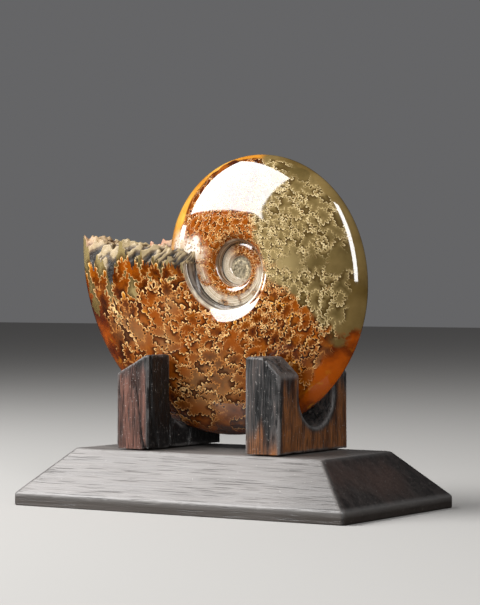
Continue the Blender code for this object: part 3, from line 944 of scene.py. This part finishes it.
def calcite_material():
    """Polished calcite: brown and amber below, olive on the right, with cream sutures and a plain rim."""
    material, tree, shader = new_material("polished_calcite")
    place_in = node(tree, "TexCoord").outputs["Object"]
    read = [attribute(tree, name) for name in CALCITE_VALUES]
    fold, tip, behind, tone, crown, arc, lime_and_highlight, old, wall, filled, olive, glow, honey, milk, crust, veil = read
    cloud = noise(tree, place_in, 60.0, 4.0, 0.55)
    patch = noise(tree, place_in, 190.0, 3.0, 0.6, 0.4)
    speck = noise(tree, place_in, 1100.0, 2.0, 0.6)
    near = calc(tree, "ABSOLUTE", fold)
    bare = calc(tree, "SUBTRACT", 1.0, glow)

    # The ground: brown, brighter inside the saddles, or olive, with milky patches and a glowing rim
    newest = step_up(tree, tone, 1.1, 1.3)
    olive = calc(tree, "MAXIMUM", olive, newest)
    brown = ramp(tree, cloud, 0.42, 0.60, (0.036, 0.006, 0.001), (0.250, 0.054, 0.002))
    brown = ramp(tree, patch, 0.50, 0.75, brown, (0.29, 0.080, 0.005))
    brown = layer(tree, brown, milk, 0.5, (0.23, 0.125, 0.055))
    green = ramp(tree, cloud, 0.3, 0.7, (0.072, 0.048, 0.013), (0.165, 0.114, 0.040))
    green = colour_mix(tree, milk, green, (0.27, 0.20, 0.085))
    green = colour_mix(tree, newest, green, (0.25, 0.185, 0.075))
    ground = colour_mix(tree, olive, brown, green)

    # Dark outside the saddles, and brighter inside them towards their tips
    fading = times(tree, step_up(tree, near, 0.040, 0.0), veil)
    outside = times(tree, calc(tree, "SUBTRACT", 1.0, behind), fading)
    fading = times(tree, fading, step_up(tree, near, 0.042, 0.0))
    shadow = colour_mix(tree, olive, (0.032, 0.0060, 0.0008), (0.060, 0.033, 0.008))
    ground = colour_mix(tree, times(tree, outside, 0.92), ground, shadow)
    leafy = step_up(tree, crown, -0.15, 0.35)
    amber = ramp(tree, patch, 0.42, 0.62, (0.46, 0.110, 0.004), (0.72, 0.30, 0.018))
    amber = colour_mix(tree, leafy, (0.23, 0.050, 0.003), amber)
    creamy = times(tree, milk, step_up(tree, cloud, 0.35, 0.55))
    amber = colour_mix(
        tree, creamy, amber, colour_mix(tree, leafy, (0.26, 0.145, 0.055), (0.66, 0.47, 0.24))
    )
    rust = ramp(tree, patch, 0.50, 0.62, (0.40, 0.285, 0.130), (0.20, 0.055, 0.006))
    rust = colour_mix(tree, newest, rust, (0.48, 0.12, 0.006))
    rust = colour_mix(tree, leafy, (0.30, 0.21, 0.088), rust)
    lit = calc(tree, "ADD", times(tree, leafy, 0.65), 0.35)
    within = times(tree, times(tree, behind, fading), lit)
    ground = colour_mix(tree, within, ground, colour_mix(tree, olive, amber, rust))
    plain = ramp(tree, cloud, 0.38, 0.62, (0.070, 0.009, 0.001), (0.40, 0.075, 0.002))
    plain = ramp(tree, patch, 0.55, 0.75, plain, (0.42, 0.15, 0.007))
    plain = colour_mix(
        tree, honey, plain, ramp(tree, cloud, 0.35, 0.65, (0.50, 0.19, 0.015), (0.70, 0.38, 0.06))
    )
    smooth_green = ramp(tree, cloud, 0.3, 0.7, (0.100, 0.062, 0.016), (0.200, 0.135, 0.047))
    ground = colour_mix(tree, glow, ground, colour_mix(tree, olive, plain, smooth_green))

    # The sutures: brightest round the tips, and hidden here and there
    bend = step_up(tree, tip, -0.15, 0.35)
    width = calc(tree, "ADD", 0.0009, times(tree, patch, 0.0014))
    width = calc(tree, "ADD", width, times(tree, bend, 0.0004))
    line = step_up(tree, calc(tree, "DIVIDE", near, width), 1.5, 0.5)
    line = times(tree, line, times(tree, veil, bare))
    warm = colour_mix(tree, bend, (0.42, 0.17, 0.045), (0.80, 0.50, 0.21))
    pale = colour_mix(tree, bend, (0.44, 0.33, 0.15), (0.70, 0.56, 0.31))
    cream = colour_mix(tree, olive, warm, pale)
    colour = colour_mix(tree, line, ground, cream)

    # Chalk, and the umbilical wall: cream and grey streaks along the spiral, painted shade low on the wall, a
    # painted highlight near its top, and painted shade in the crevice at the seam
    chalk = times(tree, times(tree, crust, 1.6), step_up(tree, speck, 0.30, 0.55), clamp=True)
    chalky = ramp(tree, patch, 0.4, 0.7, (0.82, 0.76, 0.66), (0.50, 0.38, 0.25))
    colour = colour_mix(tree, times(tree, chalk, 0.85), colour, chalky)
    streaks = node(tree, "CombineXYZ", {0: times(tree, arc, 42.0), 1: times(tree, cloud, 4.0)}).outputs[0]
    streak = step_up(tree, noise(tree, streaks, 1.0, 2.0, 0.6), 0.40, 0.62)
    # White deposit with a painted highlight, in streaks, on older turns where the mask says
    lime_and_highlight_colour = colour_mix(tree, streak, (0.34, 0.25, 0.15), (0.86, 0.76, 0.61))
    lime_and_highlight_mask = times(tree, times(tree, lime_and_highlight, old), step_up(tree, patch, 0.30, 0.50))
    colour = colour_mix(tree, lime_and_highlight_mask, colour, lime_and_highlight_colour)
    # Painted shade with streaks: the lower wall is dark grey on the lower half and dark brown on the upper
    # half
    shaded_lower_wall = colour_mix(tree, streak, (0.035, 0.033, 0.031), (0.20, 0.18, 0.15))
    shaded_lower_wall = colour_mix(
        tree, lime_and_highlight, colour_mix(tree, streak, (0.095, 0.046, 0.020), (0.30, 0.19, 0.11)), shaded_lower_wall
    )
    # Near the wall's top: cream streaks on the lower half, pale also as a painted highlight, and brown on the
    # upper half
    highlit_upper_wall = colour_mix(tree, streak, (0.22, 0.17, 0.115), (0.62, 0.54, 0.42))
    highlit_upper_wall = colour_mix(
        tree, lime_and_highlight, colour_mix(tree, streak, (0.10, 0.050, 0.024), (0.40, 0.30, 0.20)), highlit_upper_wall
    )
    wall_colour = ramp(tree, wall, 0.72, 0.82, highlit_upper_wall, shaded_lower_wall)
    colour = colour_mix(tree, times(tree, step_up(tree, wall, 0.52, 0.68), 0.95), colour, wall_colour)
    # Painted shade: nearly black in the crevice along the seam
    colour = ramp(tree, wall, 0.94, 0.985, colour, (0.012, 0.010, 0.008))

    # The stone that fills the middle
    stone = ramp(tree, speck, 0.3, 0.7, (0.085, 0.064, 0.034), (0.66, 0.54, 0.34))
    stone = layer(tree, stone, step_up(tree, patch, 0.5, 0.7), 0.6, (0.62, 0.53, 0.36))
    # Painted shade along the spiral groove at each buried turn's seam; the middle heap, whose arc value is 0,
    # is darkened all over
    spiral = bell_of(tree, arc, 0.0, 0.10)
    stone = layer(tree, stone, spiral, 0.5, (0.060, 0.048, 0.028))
    colour = colour_mix(tree, filled, colour, stone)

    rough_spots = calc(tree, "MAXIMUM", filled, chalk)
    height = calc(tree, "ADD", times(tree, line, 0.3), cloud)
    height = calc(tree, "ADD", height, times(tree, times(tree, speck, rough_spots), 4.0))
    bump = node(tree, "Bump", {"Strength": 0.25, "Distance": 0.0001, "Height": height})
    polish = node(tree, "MapRange", {"Value": patch, "To Min": 0.03, "To Max": 0.065}).outputs[0]
    rough = calc(tree, "MAXIMUM", polish, times(tree, rough_spots, 0.55))
    coat = times(tree, calc(tree, "SUBTRACT", 1.0, rough_spots), 0.85)
    fill(tree, shader, {
        "Base Color": colour, "Normal": bump.outputs[0], "Roughness": rough, "Coat Weight": coat, "IOR": 1.5,
        "Specular IOR Level": 0.3, "Coat IOR": 1.6, "Coat Roughness": 0.05,
    })
    return material


def septum_material():
    """Unpolished septum: grey-brown, with painted shade in its hollows and painted light on its pale crests,
    and an orange blush on the far edge.
    """
    material, tree, shader = new_material("bare_septum")
    place_in = node(tree, "TexCoord").outputs["Object"]
    relief_shading, blush = attribute(tree, "relief_shading"), attribute(tree, "blush")
    grain = noise(tree, place_in, 700.0, 4.0, 0.6)
    cloud = noise(tree, place_in, 160.0, 3.0, 0.5)
    # Painted shade and light: the relief value darkens the hollows and lightens the crests
    level = calc(tree, "ADD", relief_shading, times(tree, calc(tree, "SUBTRACT", cloud, 0.5), 0.7))
    colour = ramp(tree, level, -1.1, 0.3, (0.009, 0.005, 0.002), (0.080, 0.050, 0.022))
    colour = ramp(tree, level, 0.2, 1.4, colour, (0.36, 0.27, 0.145))
    pink = ramp(tree, level, -0.6, 0.8, (0.13, 0.038, 0.016), (0.42, 0.19, 0.105))
    colour = colour_mix(tree, blush, colour, pink)
    colour = layer(tree, colour, step_up(tree, grain, 0.55, 0.75), 0.4, (0.17, 0.12, 0.08))
    bump = node(tree, "Bump", {"Strength": 0.6, "Distance": 0.0003, "Height": grain})
    surface = {"Base Color": colour, "Normal": bump.outputs[0], "Roughness": 0.45, "Specular IOR Level": 0.3}
    fill(tree, shader, surface)
    return material


def grain_group():
    """Wood grain from coordinates stretched along the fibres: streaks, a pore mask and a bump height."""
    group = bpy.data.node_groups.new("wood_grain", "ShaderNodeTree")
    group.interface.new_socket("Vector", in_out="INPUT", socket_type="NodeSocketVector")
    group.interface.new_socket("Pore Share", in_out="INPUT", socket_type="NodeSocketFloat")
    for name in ("Streak", "Pores", "Height"):
        group.interface.new_socket(name, in_out="OUTPUT", socket_type="NodeSocketFloat")
    given, result = group.nodes.new("NodeGroupInput"), group.nodes.new("NodeGroupOutput")
    vector = given.outputs["Vector"]

    def scaled(factor):
        inputs = {0: vector, 1: (factor, factor, factor)}
        return node(group, "VectorMath", inputs, operation="MULTIPLY").outputs[0]

    fibre = noise(group, vector, 1.0, 5.0, 0.65, 0.2)
    band = noise(group, scaled(0.22), 1.0, 3.0, 0.5, 0.5)
    pore = noise(group, scaled(1.7), 1.0, 1.0, 0.5)
    streak = calc(group, "ADD", times(group, fibre, 0.6), times(group, band, 0.4))
    open_pore = step_up(group, pore, given.outputs["Pore Share"], 0.74)
    height = calc(group, "SUBTRACT", streak, times(group, open_pore, 0.8))
    fill(group, result, {"Streak": streak, "Pores": open_pore, "Height": height})
    return group


def grain_nodes(tree, group, stretch, pore_share):
    place_in = node(tree, "TexCoord").outputs["Object"]
    mapped = node(tree, "Mapping", {"Vector": place_in, "Scale": stretch}).outputs[0]
    grain = tree.nodes.new("ShaderNodeGroup")
    grain.node_tree = group
    fill(tree, grain, {"Vector": mapped, "Pore Share": pore_share})
    return place_in, grain


def plinth_material(group):
    """Black-stained board: a grey sheen along the grain painted into its colour, dark pores, nearly black end
    grain, painted shade over its right end, and rim edges with wear and a painted highlight.
    """
    material, tree, shader = new_material("black_stained_wood")
    place_in, grain = grain_nodes(tree, group, (34.0, 1500.0, 1500.0), 0.61)
    edge, end, hip = (attribute(tree, name) for name in ("edge", "end", "hip"))
    cloud = noise(tree, place_in, 28.0, 3.0, 0.55)
    dust = noise(tree, place_in, 1300.0, 2.0, 0.6)
    streak = grain.outputs["Streak"]
    # Painted sheen: the long grain is coloured mid-grey in streaks, as its sheen looks
    sheened_long_grain = ramp(tree, streak, 0.30, 0.70, (0.088, 0.079, 0.073), (0.212, 0.195, 0.184))
    sheened_long_grain = layer(tree, sheened_long_grain, step_up(tree, cloud, 0.42, 0.70), 0.5, (0.125, 0.112, 0.104))
    apart = node(tree, "SeparateXYZ", {0: place_in}).outputs
    # Painted shade over the board's right end, in clouds
    right_end_shade = times(tree, step_up(tree, apart[0], 0.030, 0.060), step_up(tree, cloud, 0.25, 0.60))
    sheened_long_grain = layer(tree, sheened_long_grain, right_end_shade, 0.55, (0.050, 0.045, 0.042))
    cut = ramp(tree, streak, 0.36, 0.64, (0.012, 0.0105, 0.010), (0.044, 0.036, 0.033))
    cut = layer(tree, cut, step_up(tree, cloud, 0.5, 0.75), 0.6, (0.072, 0.042, 0.033))
    colour = colour_mix(tree, end, sheened_long_grain, cut)
    colour = layer(tree, colour, step_up(tree, apart[2], 0.0044, 0.0034), 0.62, (0.030, 0.023, 0.018))
    colour = layer(tree, colour, hip, 0.75, (0.010, 0.009, 0.009))
    # Painted highlight along the rim's and top's edges
    colour = layer(tree, colour, edge, 0.35, (0.24, 0.235, 0.23))
    colour = layer(tree, colour, grain.outputs["Pores"], 0.70, (0.016, 0.014, 0.013))
    colour = layer(tree, colour, step_up(tree, dust, 0.68, 0.78), 0.60, (0.36, 0.34, 0.32))
    bump = node(tree, "Bump", {"Strength": 0.5, "Distance": 0.00025, "Height": grain.outputs["Height"]})
    span = {"Value": streak, "From Min": 0.3, "From Max": 0.7, "To Min": 0.32, "To Max": 0.52}
    rough = node(tree, "MapRange", span).outputs[0]
    fill(tree, shader, {"Base Color": colour, "Roughness": rough, "Normal": bump.outputs[0]})
    return material


def cradle_material(name, group, shade, light):
    """Scorched block: brown wood below, charred black above and along its edges, and black near the notch and
    over the left block's inner face. Its edges are pale in patches from wear and a painted highlight, and it
    has dark cracks.
    """
    material, tree, shader = new_material(name)
    place_in, grain = grain_nodes(tree, group, (1300.0, 1300.0, 85.0), 0.58)
    crack, edge, char = (attribute(tree, name) for name in ("crack", "edge", "char"))
    cloud = noise(tree, place_in, 110.0, 3.0, 0.6)
    dust = noise(tree, place_in, 1500.0, 2.0, 0.6)
    streak = grain.outputs["Streak"]
    brown = ramp(tree, streak, 0.36, 0.62, shade, light)
    brown = colour_mix(tree, times(tree, step_up(tree, cloud, 0.5, 0.75), 0.5), brown, shade)
    black = ramp(tree, streak, 0.40, 0.62, (0.006, 0.006, 0.006), (0.068, 0.064, 0.063))
    burnt = calc(tree, "ADD", char, times(tree, calc(tree, "SUBTRACT", 0.5, streak), 0.9), clamp=True)
    black = ramp(tree, char, 1.0, 1.8, black, (0.006, 0.005, 0.005))
    colour = colour_mix(tree, burnt, brown, black)
    # Pale patches along the edges: wear and a painted highlight
    wear_and_highlight = times(tree, edge, step_up(tree, cloud, 0.38, 0.60))
    colour = layer(tree, colour, wear_and_highlight, 0.55, (0.19, 0.18, 0.175))
    dark = calc(tree, "MAXIMUM", crack, times(tree, grain.outputs["Pores"], 0.8))
    colour = layer(tree, colour, dark, 0.95, (0.003, 0.003, 0.003))
    colour = layer(tree, colour, step_up(tree, dust, 0.64, 0.74), 0.65, (0.40, 0.37, 0.35))
    bump = node(tree, "Bump", {"Strength": 1.0, "Distance": 0.0006, "Height": grain.outputs["Height"]})
    rough = node(tree, "MapRange", {"Value": burnt, "To Min": 0.50, "To Max": 0.40}).outputs[0]
    fill(tree, shader, {"Base Color": colour, "Roughness": rough, "Normal": bump.outputs[0]})
    return material


# ---------------------------------------------------------------- studio


def direction_of(azimuth, elevation):
    """The unit vector at angles in degrees. Azimuth 0 is in front, along -Y, and 90 to the right."""
    azimuth, elevation = math.radians(azimuth), math.radians(elevation)
    flat = math.cos(elevation)
    return Vector((math.sin(azimuth) * flat, -math.cos(azimuth) * flat, math.sin(elevation)))


def add_light(name, middle, azimuth, elevation, distance, size, power):
    """A rectangular softbox that faces the middle."""
    out = direction_of(azimuth, elevation)
    light = bpy.data.lights.new(name, "AREA")
    light.shape = "RECTANGLE"
    light.size, light.size_y = size
    light.energy = power
    lamp = bpy.data.objects.new(name, light)
    lamp.location = middle + out * distance
    lamp.rotation_euler = out.to_track_quat("Z", "Y").to_euler()
    bpy.context.scene.collection.objects.link(lamp)


def build_studio():
    """A pale floor and a soft grey surround, both darker in mirrored rays, and three softboxes."""
    half = FLOOR_HALF_SIZE
    corners = np.array([(-half, -half, 0.0), (half, -half, 0.0), (half, half, 0.0), (-half, half, 0.0)])
    mesh = bpy.data.meshes.new("floor")
    mesh.from_pydata(corners.tolist(), [], [(0, 1, 2, 3)])
    floor_material, tree, shader = new_material("pale_floor")
    mirrored = tree.nodes.new("ShaderNodeLightPath").outputs["Is Glossy Ray"]
    shown = colour_mix(tree, mirrored, (0.42, 0.41, 0.395), (0.03, 0.027, 0.024))
    fill(tree, shader, {"Base Color": shown, "Roughness": 0.8, "Specular IOR Level": 0.0})
    mesh.materials.append(floor_material)
    floor = bpy.data.objects.new("floor", mesh)
    bpy.context.scene.collection.objects.link(floor)
    world = bpy.data.worlds.new("studio")
    world.use_nodes = True
    sky = world.node_tree.nodes["Background"]
    mirrored = world.node_tree.nodes.new("ShaderNodeLightPath").outputs["Is Glossy Ray"]
    shown = colour_mix(world.node_tree, mirrored, (0.13, 0.13, 0.134), (0.05, 0.05, 0.052))
    world.node_tree.links.new(shown, sky.inputs["Color"])
    sky.inputs["Strength"].default_value = 1.0
    bpy.context.scene.world = world
    bpy.context.scene.view_settings.view_transform = "Standard"
    middle = Vector((0.0, 0.0, 0.08))
    add_light("key_softbox", middle, -52.0, 38.0, 0.80, (0.72, 0.56), 15.0)
    add_light("low_window", middle, -80.0, 8.0, 0.90, (0.13, 0.15), 0.8)
    add_light("side_strip", middle, 46.0, 26.0, 1.00, (0.16, 0.90), 6.0)


def build_camera():
    back = direction_of(CAMERA_AZIMUTH, CAMERA_ELEVATION)
    data = bpy.data.cameras.new("camera")
    data.sensor_width = 36.0
    data.lens = CAMERA_LENS
    camera = bpy.data.objects.new("camera", data)
    camera.location = Vector(CAMERA_AIM) + back * CAMERA_DISTANCE
    camera.rotation_euler = back.to_track_quat("Z", "Y").to_euler()
    bpy.context.scene.collection.objects.link(camera)
    bpy.context.scene.camera = camera


def main():
    build_camera()
    build_studio()
    fields = SutureFields(oldest=OLDEST - 0.4, newest=0.30, widest=2.0, seed=11)
    calcite = calcite_material()
    flanks = build_flanks(fields, calcite, side=-1, step=0.0046)
    flanks += build_flanks(fields, calcite, side=1, step=0.0068)
    inner = [build_umbilicus(fields, calcite, side) for side in (-1, 1)]
    inner += [build_middle(calcite, side) for side in (-1, 1)]
    septum = build_septum(septum_material())
    for piece in (*flanks, *inner, septum):
        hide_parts("ammonite")
    group = grain_group()
    board = build_plinth(plinth_material(group))
    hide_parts("plinth")
    left_wood = cradle_material("reddish_scorched_wood", group, (0.040, 0.017, 0.012), (0.175, 0.073, 0.050))
    right_wood = cradle_material("orange_scorched_wood", group, (0.050, 0.016, 0.005), (0.260, 0.092, 0.022))
    left = build_cradle(
        "block_left", -1, LEFT_SHOULDER, LEFT_NOTCH_BOTTOM, (0.041, 0.049, 0.018), left_wood, 81
    )
    right = build_cradle(
        "block_right", 1, RIGHT_SHOULDER, RIGHT_NOTCH_BOTTOM, (0.041, 0.027, 0.036), right_wood, 91
    )
    for piece, name in ((left, "cradle_left"), (right, "cradle_right")):
        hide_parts(name)


main()
